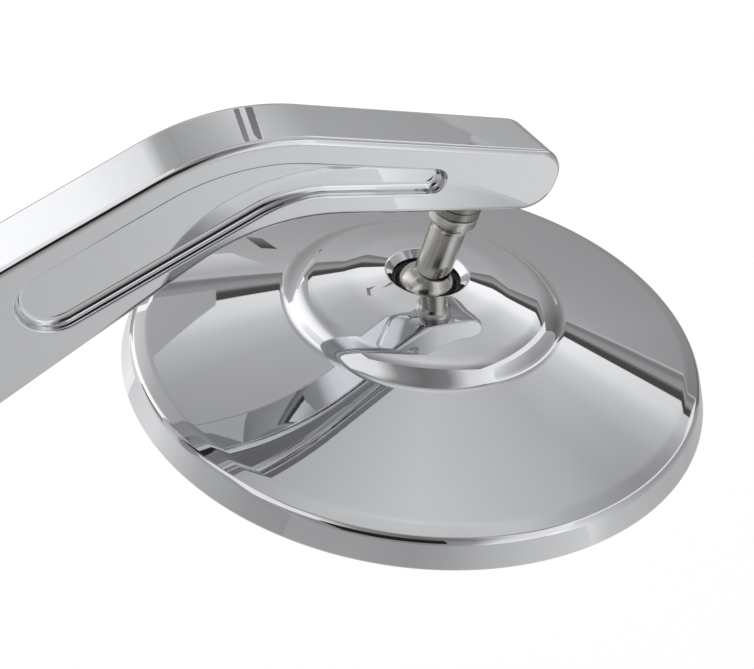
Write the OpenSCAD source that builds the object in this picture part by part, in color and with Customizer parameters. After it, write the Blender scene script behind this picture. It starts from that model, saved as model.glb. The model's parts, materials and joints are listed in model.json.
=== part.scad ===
// Round motorcycle mirror: a ball-jointed head carried by a cranked, polished arm.
// Frame: +Z up, +X out along the arm, +Y ahead of the rider, so the glass looks along -Y.
// The origin is on the axis of the handlebar stud, on the face that meets the perch.

/* [Arm] */
// Handlebar stud axis to ball axis, measured outwards
reach_x = 85.8; // [78:0.1:100]
// Handlebar stud axis to ball centre, measured forwards
reach_y = 9; // [6:0.1:14]
// Thickness of the bar that the arm is cut from
arm_t = 10.6; // [9.6:0.1:14]
// Arm beyond the ball axis, up to the tip
tip_over = 14.3; // [11:0.1:18]
// Cut-back of the tip towards the underside
tip_slant = 2.6; // [0:0.1:4]
// Width of the arm at its tip
tip_w = 11.5; // [11:0.1:15]
// Width of the arm where its two bends face each other
bend_w = 14.9; // [14:0.1:18]
// Place of the inner bend, outwards from the handlebar stud
bend_in_x = 49.1; // [45:0.1:52]
// Place of the outer bend, outwards from the handlebar stud
bend_out_x = 41.2; // [38:0.1:46]
// Radius of the inner bend
bend_in_r = 31; // [15:0.5:36]
// Radius of the outer bend
bend_out_r = 36; // [20:0.5:44]
// Radius of the round end over the handlebar stud
base_r = 11.85; // [11.5:0.05:13]
// Corner radius at the tip, on the side of the head
tip_in_r = 5.4; // [2:0.1:5.5]
// Corner radius at the tip, on the far side
tip_out_r = 5.2; // [2:0.1:5.3]
// Rounding of the long edges
edge_r = 1.2; // [0.6:0.1:2]

/* [Pocket] */
// Depth of the milled pocket in the upper face
pocket_depth = 1.8; // [1:0.1:2.6]
// Land between the pocket and the outer edge
land_out = 3.9; // [3:0.1:4.4]
// Land between the pocket and the edge on the side of the head
land_in = 3.6; // [3:0.1:4.2]
// Width of the pocket along the long straight
pocket_w = 12.1; // [9:0.1:12.6]
// Start of the pocket, along the arm from the handlebar stud
pocket_start = 18.9; // [14:0.1:26]
// End of the pocket, short of the ball axis
pocket_stop = 7.3; // [4:0.1:14]
// Inner bend radius of the pocket
pocket_bend_r = 18; // [8:0.5:24]
// Rounding of the pocket's rim
pocket_rim_r = 0.4; // [0.2:0.05:0.6]
// Cutter radius left along the pocket's floor
pocket_floor_r = 1.2; // [0.6:0.05:1.3]

/* [Ball stud] */
// Radius of the ball
ball_r = 5.85; // [5.4:0.05:6.2]
// Ball centre to the arm
neck_len = 21.5; // [20:0.1:26]
// Radius of the shank
shank_r = 3.15; // [2.8:0.05:3.4]
// Radius of the collar under the arm
collar_r = 4.4; // [3.9:0.1:5]
// Thickness of the collar
collar_t = 1.7; // [0.8:0.1:2.4]
// Length of the flare between collar and shank
flare_h = 1.8; // [1:0.1:3]
// Radius of the thread in the arm
stud_thread_r = 3; // [2.5:0.1:3]
// Depth of the tapped hole for the ball stud
stud_hole_depth = 8.5; // [6:0.1:8.8]
// Thickness of the two-turn split washer under the arm
stud_washer_t = 3.1; // [1.4:0.1:3.4]

/* [Handlebar stud] */
// Radius of the thread that goes into the perch
mount_r = 5; // [4:0.5:5]
// Length of that thread
mount_len = 26; // [18:0.5:40]
// Width across the flats of the hexagon
hex_af = 14; // [13:0.5:16]
// Height of the hexagon
hex_h = 6; // [4:0.1:9]
// Radius of the thread in the arm
arm_thread_r = 4; // [3.5:0.1:4.2]
// Depth of the tapped hole for the handlebar stud
arm_hole_depth = 8; // [6:0.1:8.4]
// Thickness of the split washer on the hexagon
mount_washer_t = 1.6; // [1.2:0.1:2.2]

/* [Head] */
// Outer radius of the head
head_r = 52.65; // [50:0.05:54]
// Height of the rim before the back slopes in
rim_h = 4.95; // [4.8:0.05:5.8]
// Draft of the rim wall, over its height
rim_draft = 1.75; // [0.8:0.05:2]
// Rounding between the rim wall and the back
rim_round = 1.5; // [0.8:0.1:2]
// Rounding of the rim's front edge
front_round = 0.3; // [0.2:0.05:0.8]
// Radius of the hub's foot
hub_foot_r = 24.9; // [24:0.1:26]
// Height of the back where the hub starts
hub_foot_h = 12.2; // [12:0.1:13.2]
// Radius of the hub's shoulder
hub_top_r = 21.6; // [21:0.1:22.4]
// Height of the hub's shoulder
hub_top_h = 14.85; // [14.6:0.05:15.3]
// Rounding of the shoulder
hub_round = 7; // [3:0.5:9]
// Radius at which the dome turns down towards the shoulder
dome_r = 13; // [12:0.1:14]
// Height of the dome there
dome_h = 17.15; // [17:0.05:17.3]
// Height of the lip round the ball opening
lip_h = 18.1; // [17.8:0.1:18.8]
// Radius of the lip round the ball opening
lip_r = 7.3; // [6.9:0.1:8]
// Radius of the opening that the stud passes
mouth_r = 6.05; // [5.6:0.05:6.2]
// Height of the ball centre above the front of the rim
ball_h = 13.5; // [13.2:0.1:13.9]
// Wall of the casting
wall = 2; // [1.7:0.1:2.1]
// Wall of the rim round the glass
rim_wall = 2.6; // [2.2:0.1:3.2]

/* [Glass] */
// Thickness of the glass
glass_t = 2; // [1.8:0.1:2.1]
// Radius of curvature of the convex glass
glass_curve_r = 1200; // [1100:10:2000]
// Glass centre behind the front of the rim
glass_sink = 0.3; // [0.25:0.05:0.4]
// Thickness of the bonding pad
pad_t = 0.8; // [0.5:0.1:0.9]
// Thickness of the seal round the glass
seal_t = 1; // [0.8:0.1:1.4]
// Overlap of the seal's lip on the glass
seal_lip = 1.7; // [1:0.1:3]
// Height of the seal, from the front of the rim
seal_h = 2.8; // [2.4:0.1:2.9]
// Edge of the backing plate, inside the edge of the glass
plate_inset = 7; // [5:0.5:8]

/* [Ball joint] */
// Wall of the seat ring and the pressure cup
liner_t = 0.9; // [0.7:0.05:1.1]
// Thickness of one disc spring
spring_t = 0.5; // [0.4:0.05:0.6]
// Cone height of one disc spring
spring_cone = 0.3; // [0.2:0.05:0.4]
// Thickness of the clamp plate
clamp_t = 1.2; // [1:0.1:1.5]
// Clamp screws from the ball axis
clamp_screw_at = 13.6; // [13:0.1:14.5]
// Backing plate screws from the ball axis
plate_screw_at = 36; // [32:0.5:40]

/* [Rest position] */
// Turn of the head about the upright axis
head_turn = 7.68; // [0:0.01:10]
// Tilt of the head, glass downwards being positive
head_tilt = -5.28; // [-8:0.01:0]

/* [Hidden] */
$fn = 96;

chrome = [0.84, 0.84, 0.86];
stainless = [0.66, 0.66, 0.66];
zinc = [0.72, 0.74, 0.76];
black = [0.1, 0.1, 0.1];

// Clearances between pieces
thread_gap = 0.05;
slide_gap = 0.1;
seat_gap = 0.05;
cut = 0.5;

// Arm placed over the hexagon and its washer
arm_z = hex_h + mount_washer_t;
arm_mid = arm_z + arm_t / 2;
head_side_y = reach_y + neck_len;

// Side of a shape as its direction and its distance, inside being on the left
function left_of(a) = [-sin(a), cos(a)];
function meet(m, c, n, d) =
    (c * [n.y, -n.x] - d * [m.y, -m.x]) / (m.x * n.y - m.y * n.x);

// Arc that rounds the corner from one side to the next, set in by a distance
function corner_arc(from, to, r, inset, steps) =
    let(
        turn = to[0] - from[0],
        side = sign(turn),
        centre = meet(left_of(from[0]), from[1] + side * r, left_of(to[0]), to[1] + side * r)
    )
    [for (i = [0:steps])
        let(a = from[0] + turn * i / steps)
        centre - side * (r - side * inset) * left_of(a)];

// Sides of the arm, anticlockwise from the one that leaves the handlebar stud
bend_in = [bend_in_x, head_side_y];
bend_out = [bend_out_x, head_side_y + bend_w];
tip_out = [reach_x + tip_over, head_side_y + tip_w];
slope_in = atan2(bend_in.y, bend_in.x) + asin(base_r / norm(bend_in));
slope_out = atan2(bend_out.y, bend_out.x) - asin(base_r / norm(bend_out));
slope_top = atan2(bend_out.y - tip_out.y, bend_out.x - tip_out.x);
side_in = [slope_in, -base_r];
side_head = [0, head_side_y];
side_top = [slope_top, left_of(slope_top) * bend_out];
side_out = [180 + slope_out, -base_r];
side_in_again = [360 + slope_in, -base_r];

// Both outlines start at the middle of their round end, so that point i faces point n - 1 - i
function middle_out(outline, n) =
    [for (i = [0:len(outline) - 1]) outline[(i + len(outline) - n / 2) % len(outline)]];
base_points = 32;

// Outline of the arm, set in by a distance, with its tip cut back
function arm_outline(inset, cut_back) = let(side_tip = [90, cut_back - tip_out.x]) middle_out(concat(
    corner_arc(side_in, side_head, bend_in_r, inset, 12),
    corner_arc(side_head, side_tip, tip_in_r, inset, 8),
    corner_arc(side_tip, side_top, tip_out_r, inset, 8),
    corner_arc(side_top, side_out, bend_out_r, inset, 12),
    corner_arc(side_out, side_in_again, base_r, inset, base_points - 1)
), base_points);

// Sides of the pocket, held parallel to the arm by its lands
pocket_head = [0, head_side_y + land_in];
pocket_tip = [90, -(reach_x - pocket_stop)];
pocket_top = [side_top[0], side_top[1] + land_out];
pocket_out = [side_out[0], side_out[1] + land_out];
pocket_base = [270 + slope_out, pocket_start];
pocket_in = [360 + slope_out, base_r - land_out - pocket_w];
pocket_in_first = [slope_out, pocket_in[1]];
pocket_base_r = pocket_w / 2 - 0.05;
pocket_tip_h = left_of(side_top[0]) * [reach_x - pocket_stop, head_side_y + land_in] - pocket_top[1];
pocket_tip_r = pocket_tip_h / 2 - 0.05;

function pocket_outline(inset) = concat(
    corner_arc(pocket_base, pocket_in, pocket_base_r, inset, 8),
    corner_arc(pocket_in_first, pocket_head, pocket_bend_r, inset, 8),
    corner_arc(pocket_head, pocket_tip, pocket_tip_r, inset, 8),
    corner_arc(pocket_tip, pocket_top, pocket_tip_r, inset, 8),
    corner_arc(pocket_top, pocket_out, bend_out_r - land_out, inset, 8),
    corner_arc(pocket_out, pocket_base, pocket_base_r, inset, 8)
);

// Closed solid through outlines of equal length, each at its own height,
// closed at both ends by strips between the points that face each other
module loft(rings, heights) {
    n = len(rings[0]);
    last = len(rings) - 1;
    points = [for (k = [0:last]) for (p = rings[k]) [p.x, p.y, heights[k]]];
    sides = [for (k = [0:last - 1]) for (i = [0:n - 1])
        [k * n + i, (k + 1) * n + i, (k + 1) * n + (i + 1) % n, k * n + (i + 1) % n]];
    floor_faces = [for (i = [0:n / 2 - 2]) [i, i + 1, n - 2 - i, n - 1 - i]];
    roof_faces = [for (f = floor_faces) [for (i = [3:-1:0]) last * n + f[i]]];
    polyhedron(points, concat(floor_faces, sides, roof_faces), convexity = 6);
}

edge_steps = 4;
module rounded_bar() {
    angles = [for (i = [0:edge_steps]) 90 * i / edge_steps];
    low = [for (a = angles) [edge_r * (1 - sin(a)), edge_r * (1 - cos(a))]];
    high = [for (i = [edge_steps:-1:0]) [low[i][0], arm_t - low[i][1]]];
    stations = concat(low, high);
    loft(
        [for (s = stations) arm_outline(s[0], tip_slant * (1 - s[1] / arm_t))],
        [for (s = stations) s[1]]
    );
}

module pocket_cut() {
    rim = [for (a = [90:-30:0]) [pocket_rim_r * sin(a), -pocket_rim_r * (1 - cos(a))]];
    fillet = [for (a = [90:-22.5:0])
        [pocket_rim_r + pocket_floor_r * (1 - cos(a)),
         -pocket_depth + pocket_floor_r * (1 - sin(a))]];
    stations = concat(fillet, rim, [[0, cut]]);
    loft([for (s = stations) pocket_outline(s[0])], [for (s = stations) s[1]]);
}

// Turned piece whose axis is the ball stud's
module on_stud() {
    translate([reach_x, reach_y, arm_mid]) rotate([-90, 0, 0]) children();
}

// Head pieces stand with the rim's front at zero and their backs up the ball axis
module on_head() {
    translate([reach_x, reach_y, arm_mid])
        rotate([0, 0, head_turn]) rotate([head_tilt, 0, 0]) rotate([-90, 0, 0])
            translate([0, 0, -ball_h]) children();
}

module arm() {
    color(chrome)
        difference() {
            translate([0, 0, arm_z]) rounded_bar();
            translate([0, 0, arm_z + arm_t]) pocket_cut();
            translate([0, 0, arm_z - cut]) cylinder(r = arm_thread_r, h = arm_hole_depth + cut);
            on_stud() translate([0, 0, neck_len - cut])
                cylinder(r = stud_thread_r, h = stud_hole_depth + cut);
        }
}

// Washer cut through on a slant, with one end a little proud
module split_washer(inner, outer, t) {
    slot = 0.8;
    difference() {
        cylinder(r = outer, h = t);
        translate([0, 0, -cut]) cylinder(r = inner, h = t + 2 * cut);
        translate([(inner + outer) / 2, 0, t / 2]) rotate([25, 0, 0])
            cube([2 * (outer - inner), slot, 4 * t], center = true);
    }
}

collar_top = neck_len - stud_washer_t;
module ball_stud() {
    relief = 0.15;
    relief_top = sqrt(ball_r * ball_r - pow(shank_r - relief, 2)) + 0.3;
    tip_chamfer = 0.6;
    flare_top = collar_top - collar_t;
    thread_r = stud_thread_r - thread_gap;
    thread_end = neck_len + stud_hole_depth - 0.5;
    color(stainless)
        on_stud() {
            sphere(r = ball_r);
            rotate_extrude() polygon([
                [0, 0], [shank_r - relief, 0],
                [shank_r - relief, relief_top], [shank_r, relief_top + relief],
                [shank_r, flare_top - flare_h], [shank_r + 0.3, flare_top - 0.5 * flare_h],
                [collar_r, flare_top],
                [collar_r, collar_top], [thread_r, collar_top],
                [thread_r, thread_end - tip_chamfer], [thread_r - tip_chamfer, thread_end],
                [0, thread_end]
            ]);
        }
}

module stud_lock_washer() {
    color(stainless)
        on_stud() translate([0, 0, collar_top])
            rotate([0, 0, 200]) split_washer(stud_thread_r + slide_gap, collar_r + 0.1, stud_washer_t);
}

module mount_stud() {
    chamfer = 1;
    thread_r = arm_thread_r - thread_gap;
    thread_top = arm_z + arm_hole_depth - 0.5;
    color(stainless) {
        cylinder(d = hex_af / cos(30), h = hex_h, $fn = 6);
        rotate_extrude() polygon([
            [0, -mount_len], [mount_r - chamfer, -mount_len], [mount_r, chamfer - mount_len],
            [mount_r, 0.1], [thread_r, hex_h - 0.1], [thread_r, thread_top - chamfer],
            [thread_r - chamfer, thread_top], [0, thread_top]
        ]);
    }
}

module mount_lock_washer() {
    color(stainless)
        translate([0, 0, hex_h])
            rotate([0, 0, 160]) split_washer(arm_thread_r + slide_gap, hex_af / 2 - 0.2, mount_washer_t);
}

// Outline of a turned piece with its corners rounded: each corner is a point and a radius
function rounded(corners, steps = 6) =
    [for (i = [0:len(corners) - 1])
        let(
            n = len(corners),
            p = [corners[i][0], corners[i][1]],
            r = corners[i][2],
            back = corners[(i + n - 1) % n],
            next = corners[(i + 1) % n]
        )
        each r == 0 ? [p] :
            let(
                u = [back[0], back[1]] - p,
                v = [next[0], next[1]] - p,
                a = u / norm(u),
                b = v / norm(v),
                half = acos(a * b) / 2,
                mid = a + b,
                centre = p + mid / norm(mid) * r / sin(half),
                start = p + a * r / tan(half) - centre,
                stop = p + b * r / tan(half) - centre,
                swing = atan2(start.x * stop.y - start.y * stop.x, start * stop)
            )
            [for (k = [0:steps])
                let(t = swing * k / steps)
                centre + [start.x * cos(t) - start.y * sin(t), start.x * sin(t) + start.y * cos(t)]]];

// Heights of the glass's faces, which follow one curve
function sag(r) = r * r / (2 * glass_curve_r);
function bowed(r0, r1, h) =
    [for (i = [0:8]) let(r = r0 + (r1 - r0) * i / 8) [r, h + sag(r)]];

seat_r = ball_r + liner_t + 2 * slide_gap;
inside_r = head_r - rim_wall;
back_slope = (hub_foot_h - rim_h) / (head_r - rim_draft - hub_foot_r);
function back_under(r) = rim_h + (head_r - rim_draft - r) * back_slope - wall;
glass_back = glass_sink + glass_t;
plate_front = glass_back + pad_t;
glass_r = inside_r - slide_gap - seal_t - seat_gap;
plate_r = glass_r - plate_inset;
plate_back = back_under(plate_r) - 2 * slide_gap;
plate_hole_r = clamp_screw_at + 6.4;

cup_top = ball_h - 2.5;
cup_base = ball_h - ball_r - 0.45;
spring_h = spring_t + spring_cone;
spring_base = cup_base - seat_gap - 2 * spring_h;
clamp_top = spring_base;
clamp_r = clamp_screw_at + 3.8;
seat_boss_r = seat_r + 3.05;
clamp_screw_r = 1.5;
plate_screw_r = 1.25;
clamp_angles = [90, 210, 330];
plate_angles = [30, 150, 270];
plate_thread_len = 2.3;
clamp_thread_len = 6;
thread_room = 0.3;

module head_shell() {
    seat_height = sqrt(seat_r * seat_r - mouth_r * mouth_r);
    clamp_boss_r = 3.4;
    plate_boss_r = 2.8;
    dome_under = hub_top_h - wall + 0.2;
    color(chrome)
        on_head() {
            difference() {
                union() {
                    rotate_extrude($fn = 180) polygon(rounded([
                        [inside_r, 0, 0],
                        [head_r, 0, front_round],
                        [head_r - rim_draft, rim_h, rim_round],
                        [hub_foot_r, hub_foot_h, 1.2],
                        [hub_top_r, hub_top_h, hub_round],
                        [dome_r, dome_h, 30],
                        [lip_r, lip_h, 0.3],
                        [mouth_r, ball_h + seat_height, 0],
                        [mouth_r, clamp_top + 0.4, 0],
                        [seat_boss_r, clamp_top + 0.4, 0.4],
                        [seat_boss_r, dome_under + 0.9, 1],
                        [hub_top_r - wall, dome_under, 1.5],
                        [hub_foot_r - wall, back_under(hub_foot_r - wall), 1],
                        [inside_r, back_under(inside_r), 0.5]
                    ]));
                    for (a = clamp_angles) rotate([0, 0, a])
                        translate([clamp_screw_at, 0, clamp_top])
                            cylinder(r = clamp_boss_r, h = dome_under + 1.2 - clamp_top);
                    for (a = plate_angles) rotate([0, 0, a])
                        translate([plate_screw_at, 0, plate_back])
                            cylinder(r = plate_boss_r, h = back_under(plate_screw_at) + 0.8 - plate_back);
                }
                translate([0, 0, ball_h]) sphere(r = seat_r);
                translate([0, 0, clamp_top - cut]) cylinder(r = seat_r, h = ball_h - clamp_top + cut);
                for (a = clamp_angles) rotate([0, 0, a])
                    translate([clamp_screw_at, 0, clamp_top - cut])
                        cylinder(r = clamp_screw_r, h = clamp_thread_len + thread_room + cut);
                for (a = plate_angles) rotate([0, 0, a])
                    translate([plate_screw_at, 0, plate_back - cut])
                        cylinder(r = plate_screw_r, h = plate_thread_len + thread_room + cut);
            }
        }
}

// Bearing ring between the ball and the casting, on the arm's side of the ball
module seat_ring() {
    top = ball_r * sin(25);
    color(black)
        on_head() translate([0, 0, ball_h])
            difference() {
                intersection() {
                    sphere(r = seat_r - slide_gap);
                    cylinder(r = seat_r, h = top);
                }
                sphere(r = ball_r + slide_gap);
            }
}

module pressure_cup() {
    color(black)
        on_head()
            difference() {
                translate([0, 0, cup_base])
                    cylinder(r = seat_r - slide_gap, h = cup_top - cup_base);
                translate([0, 0, ball_h]) sphere(r = ball_r + slide_gap);
                translate([0, 0, cup_base - cut]) cylinder(r = 2.6, h = 2 * cut + 1);
            }
}

// Coned washer: the second one lies upside down on the first
module disc_spring(upturned) {
    bore_r = 3.1;
    rim_r = seat_r - 2 * slide_gap;
    color(stainless)
        on_head() translate([0, 0, spring_base + (upturned ? spring_h : 0)])
            rotate_extrude() polygon(upturned ?
                [[bore_r, spring_cone], [rim_r, 0], [rim_r, spring_t], [bore_r, spring_h]] :
                [[bore_r, 0], [rim_r, spring_cone], [rim_r, spring_h], [bore_r, spring_t]]);
}
module disc_spring_1() { disc_spring(false); }
module disc_spring_2() { disc_spring(true); }

module clamp_plate() {
    color(zinc)
        on_head() translate([0, 0, clamp_top - clamp_t])
            difference() {
                cylinder(r = clamp_r, h = clamp_t);
                for (a = clamp_angles) rotate([0, 0, a])
                    translate([clamp_screw_at, 0, -cut])
                        cylinder(r = clamp_screw_r + slide_gap, h = clamp_t + 2 * cut);
                translate([0, 0, -cut]) cylinder(r = 2, h = clamp_t + 2 * cut);
            }
}

// Pan head screw with a cross recess, driven from the glass side
module clamp_screw(i) {
    pan_r = 2.7;
    pan_h = 1.3;
    shaft_end = clamp_top + clamp_thread_len;
    seat = clamp_top - clamp_t;
    color(stainless)
        on_head() rotate([0, 0, clamp_angles[i]]) translate([clamp_screw_at, 0, 0])
            difference() {
                rotate_extrude() polygon(rounded([
                    [0, seat - pan_h, 0], [pan_r, seat - pan_h, 0.7], [pan_r, seat, 0],
                    [clamp_screw_r - thread_gap, seat, 0],
                    [clamp_screw_r - thread_gap, shaft_end, 0.3], [0, shaft_end, 0]
                ]));
                for (turn = [0, 90]) rotate([0, 0, turn])
                    translate([0, 0, seat - pan_h]) cube([2.6, 0.55, 1.4], center = true);
            }
}
module clamp_screw_1() { clamp_screw(0); }
module clamp_screw_2() { clamp_screw(1); }
module clamp_screw_3() { clamp_screw(2); }

screw_face = plate_front + sag(plate_screw_at - 2.4);
module backing_plate() {
    color(black)
        on_head()
            difference() {
                rotate_extrude() polygon(concat(
                    bowed(plate_hole_r, plate_r, plate_front),
                    [[plate_r, plate_back], [plate_hole_r, plate_back]]
                ));
                for (a = plate_angles) rotate([0, 0, a])
                    translate([plate_screw_at, 0, 0]) {
                        cylinder(r = plate_screw_r + slide_gap, h = plate_back + cut);
                        cylinder(r = 2.4 + slide_gap, h = screw_face + 0.25);
                        translate([0, 0, screw_face + 0.24])
                            cylinder(r1 = 2.4 + slide_gap, r2 = plate_screw_r + slide_gap, h = 1.1);
                    }
            }
}

// Countersunk screw that lies just under the plate's front
module backing_screw(i) {
    head_r2 = 2.4;
    face = screw_face + 0.15;
    shaft_end = plate_back + plate_thread_len;
    color(stainless)
        on_head() rotate([0, 0, plate_angles[i]]) translate([plate_screw_at, 0, 0])
            difference() {
                rotate_extrude() polygon([
                    [0, face], [head_r2, face], [head_r2, face + 0.1],
                    [plate_screw_r - thread_gap, face + 1.2],
                    [plate_screw_r - thread_gap, shaft_end], [0, shaft_end]
                ]);
                for (turn = [0, 90]) rotate([0, 0, turn])
                    translate([0, 0, face]) cube([2.4, 0.5, 1.2], center = true);
            }
}
module backing_screw_1() { backing_screw(0); }
module backing_screw_2() { backing_screw(1); }
module backing_screw_3() { backing_screw(2); }

// Bonding pad between two faces of one curve
module glass_pad() {
    inner = plate_hole_r + 0.8;
    outer = plate_r - 0.6;
    color(black)
        on_head() rotate_extrude() polygon(concat(
            bowed(inner, outer, glass_back + seat_gap),
            bowed(outer, inner, plate_front - seat_gap)
        ));
}

module glass() {
    color([0.75, 0.8, 0.85])
        on_head() rotate_extrude($fn = 180) polygon(concat(
            bowed(0, glass_r, glass_sink),
            bowed(glass_r, 0, glass_back)
        ));
}

// Rubber ring that grips the edge of the glass, with a lip over its face
module rim_seal() {
    front = 0.2;
    outer = inside_r - slide_gap;
    inner = outer - seal_t;
    lip = glass_r - seal_lip;
    step = glass_sink + sag(lip) - seat_gap;
    color(black)
        on_head() rotate_extrude($fn = 180) polygon(rounded([
            [lip, front, 0.3], [outer, front, 0.3], [outer, seal_h, 0.2],
            [inner, seal_h, 0], [inner, step, 0], [lip, step, 0]
        ]));
}

arm();
ball_stud();
stud_lock_washer();
mount_stud();
mount_lock_washer();
head_shell();
seat_ring();
pressure_cup();
disc_spring_1();
disc_spring_2();
clamp_plate();
clamp_screw_1();
clamp_screw_2();
clamp_screw_3();
backing_plate();
backing_screw_1();
backing_screw_2();
backing_screw_3();
glass_pad();
glass();
rim_seal();
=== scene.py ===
"""Round motorcycle mirror: polished arm, turned ball stud and chromed head, dressed over the CAD frame.

Sizes are in millimetres inside the classes and become metres where a mesh is made.
"""
import json
import logging
import math
from dataclasses import dataclass, field
from enum import Enum
from typing import Callable, Iterable, Sequence

import bmesh
import bpy
from mathutils import Matrix, Vector


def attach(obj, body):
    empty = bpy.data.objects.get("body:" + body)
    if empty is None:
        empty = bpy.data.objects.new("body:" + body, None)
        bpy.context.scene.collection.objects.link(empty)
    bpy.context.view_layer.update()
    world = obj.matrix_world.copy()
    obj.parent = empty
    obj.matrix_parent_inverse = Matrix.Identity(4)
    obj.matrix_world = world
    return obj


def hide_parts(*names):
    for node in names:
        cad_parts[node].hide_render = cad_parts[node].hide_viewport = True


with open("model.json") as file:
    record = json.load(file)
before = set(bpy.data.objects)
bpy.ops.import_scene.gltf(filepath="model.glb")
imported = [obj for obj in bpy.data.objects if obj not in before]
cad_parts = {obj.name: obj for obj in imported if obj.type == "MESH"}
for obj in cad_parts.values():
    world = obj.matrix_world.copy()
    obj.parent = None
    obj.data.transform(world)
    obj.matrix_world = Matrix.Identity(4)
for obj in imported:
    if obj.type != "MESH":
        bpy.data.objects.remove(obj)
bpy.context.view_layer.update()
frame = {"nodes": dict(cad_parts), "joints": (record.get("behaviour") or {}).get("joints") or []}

LOG = logging.getLogger("mirror")
MM = 0.001
# Width of the narrow band that keeps a flat face flat beside a fillet
FLAT_BAND = 0.05
# Points closer than this are one, and a radius below it lies on the axis
SAME_POINT = 1e-5
ON_AXIS = 1e-6

# Short names for the types that the hints repeat
Point = tuple[float, float]
Place = tuple[float, float, float]
Stops = tuple[Point, ...]
Tree = bpy.types.NodeTree
Node = bpy.types.Node
Socket = bpy.types.NodeSocket
Material = bpy.types.Material
Object = bpy.types.Object
Mesh = bmesh.types.BMesh
Ring = list[bmesh.types.BMVert]


class Body(str, Enum):
    """Rigid bodies that carry the dressed pieces, as the frame names them."""

    ARM = "arm"
    HEAD = "head"


class Lay(Enum):
    """Direction of a machined lay, as the axis that its rings or strokes go round."""

    BALL_STUD = "Y"
    UPRIGHT = "Z"


def linear(hex_colour: str) -> tuple[float, float, float, float]:
    """Turn an sRGB hex colour to linear light.

    Args:
        hex_colour: six hex digits, with or without a leading hash mark.

    Returns:
        Red, green, blue and alpha for a shader socket.
    """
    digits = hex_colour.lstrip("#")
    channels = [int(digits[i:i + 2], 16) / 255 for i in (0, 2, 4)]
    straight = [c / 12.92 if c <= 0.04045 else ((c + 0.055) / 1.055) ** 2.4 for c in channels]
    return (*straight, 1.0)


def per_metre(size_mm: float) -> float:
    """Texture scale at which one feature is size_mm long."""
    return 1.0 / (size_mm * MM)


def add_node(tree: Tree, kind: str, settings: dict | None = None, links: dict | None = None) -> Node:
    """Add one shader node with its settings and its inputs.

    Args:
        tree: the node tree that takes it.
        kind: Blender's name for the node type.
        settings: attributes of the node.
        links: input name or number to a value, or to the output socket that feeds it.

    Returns:
        The new node.
    """
    node = tree.nodes.new(kind)
    for name, value in (settings or {}).items():
        setattr(node, name, value)
    feed(tree, node, links or {})
    return node


def feed(tree: Tree, node: Node, links: dict) -> None:
    """Set a node's inputs: each name or number goes to a value, or to the output that feeds it."""
    for name, value in links.items():
        if isinstance(value, Socket):
            tree.links.new(value, node.inputs[name])
        else:
            node.inputs[name].default_value = value


def ramp(tree: Tree, source: Socket, stops: Stops) -> Socket:
    """Map a value through grey stops.

    Args:
        tree: the node tree.
        source: value that drives the ramp.
        stops: pairs of place and grey level, in order of place.

    Returns:
        The colour output.
    """
    node = add_node(tree, "ShaderNodeValToRGB", links={"Fac": source})
    points = node.color_ramp.elements
    while len(points) < len(stops):
        points.new(1.0)
    for point, (place, grey) in zip(points, stops):
        point.position = place
        point.color = (grey, grey, grey, 1.0)
    return node.outputs["Color"]


def noise(tree: Tree, place: Socket, size_mm: float, detail: float, roughness: float = 0.5) -> Socket:
    """Cloudy noise whose features are size_mm long."""
    return add_node(tree, "ShaderNodeTexNoise", links={
        "Vector": place, "Scale": per_metre(size_mm),
        "Detail": detail, "Roughness": roughness}).outputs["Fac"]


def tones(tree: Tree, factor: Socket, low: str, high: str) -> Socket:
    """Mix two hex colours by a factor."""
    return add_node(tree, "ShaderNodeMix", {"data_type": "RGBA"}, {
        "Factor": factor, "A": linear(low), "B": linear(high)}).outputs["Result"]


def spread(tree: Tree, value: Socket, low: float, high: float, span: Point = (0.0, 1.0)) -> Socket:
    """Carry a value from its span to the range between low and high."""
    return add_node(tree, "ShaderNodeMapRange", links={
        "Value": value, "From Min": span[0], "From Max": span[1],
        "To Min": low, "To Max": high}).outputs["Result"]


def relief(tree: Tree, height: Socket, depth_mm: float, strength: float = 1.0) -> Socket:
    """Normal of a surface raised by up to depth_mm."""
    return add_node(tree, "ShaderNodeBump", links={
        "Strength": strength, "Distance": depth_mm * MM, "Height": height}).outputs["Normal"]


class Finish:
    """A surface finish: a subclass fills the principled shader of one material."""

    name: str

    def make(self) -> Material:
        """Build the material once and return it after that."""
        full_name = self.name + "_finish"
        known = bpy.data.materials.get(full_name)
        if known:
            return known
        material = bpy.data.materials.new(full_name)
        material.use_nodes = True
        tree = material.node_tree
        self.fill(tree, tree.nodes["Principled BSDF"], add_node(tree, "ShaderNodeTexCoord").outputs["Object"])
        return material

    def fill(self, tree: Tree, shader: Node, place: Socket) -> None:
        """Set the shader's sockets; place is the position in the row frame."""
        raise NotImplementedError


@dataclass(frozen=True)
class MirrorChrome(Finish):
    """Decorative chrome plate over buffed metal: sharp reflections with a cool tint."""

    name: str
    tint: str = "#E3E4E6"
    shade: str = "#DFE0E3"
    roughness: float = 0.02
    buffing_mm: float = 14.0
    wave_depth_mm: float = 0.002

    def fill(self, tree: Tree, shader: Node, place: Socket) -> None:
        """Chrome: buffing leaves long soft waves, and the plate's tone drifts a trace with them."""
        buffing = noise(tree, place, self.buffing_mm, 2.0)
        feed(tree, shader, {
            "Base Color": tones(tree, buffing, self.shade, self.tint), "Metallic": 1.0,
            "Roughness": self.roughness, "Normal": relief(tree, buffing, self.wave_depth_mm)})


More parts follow.
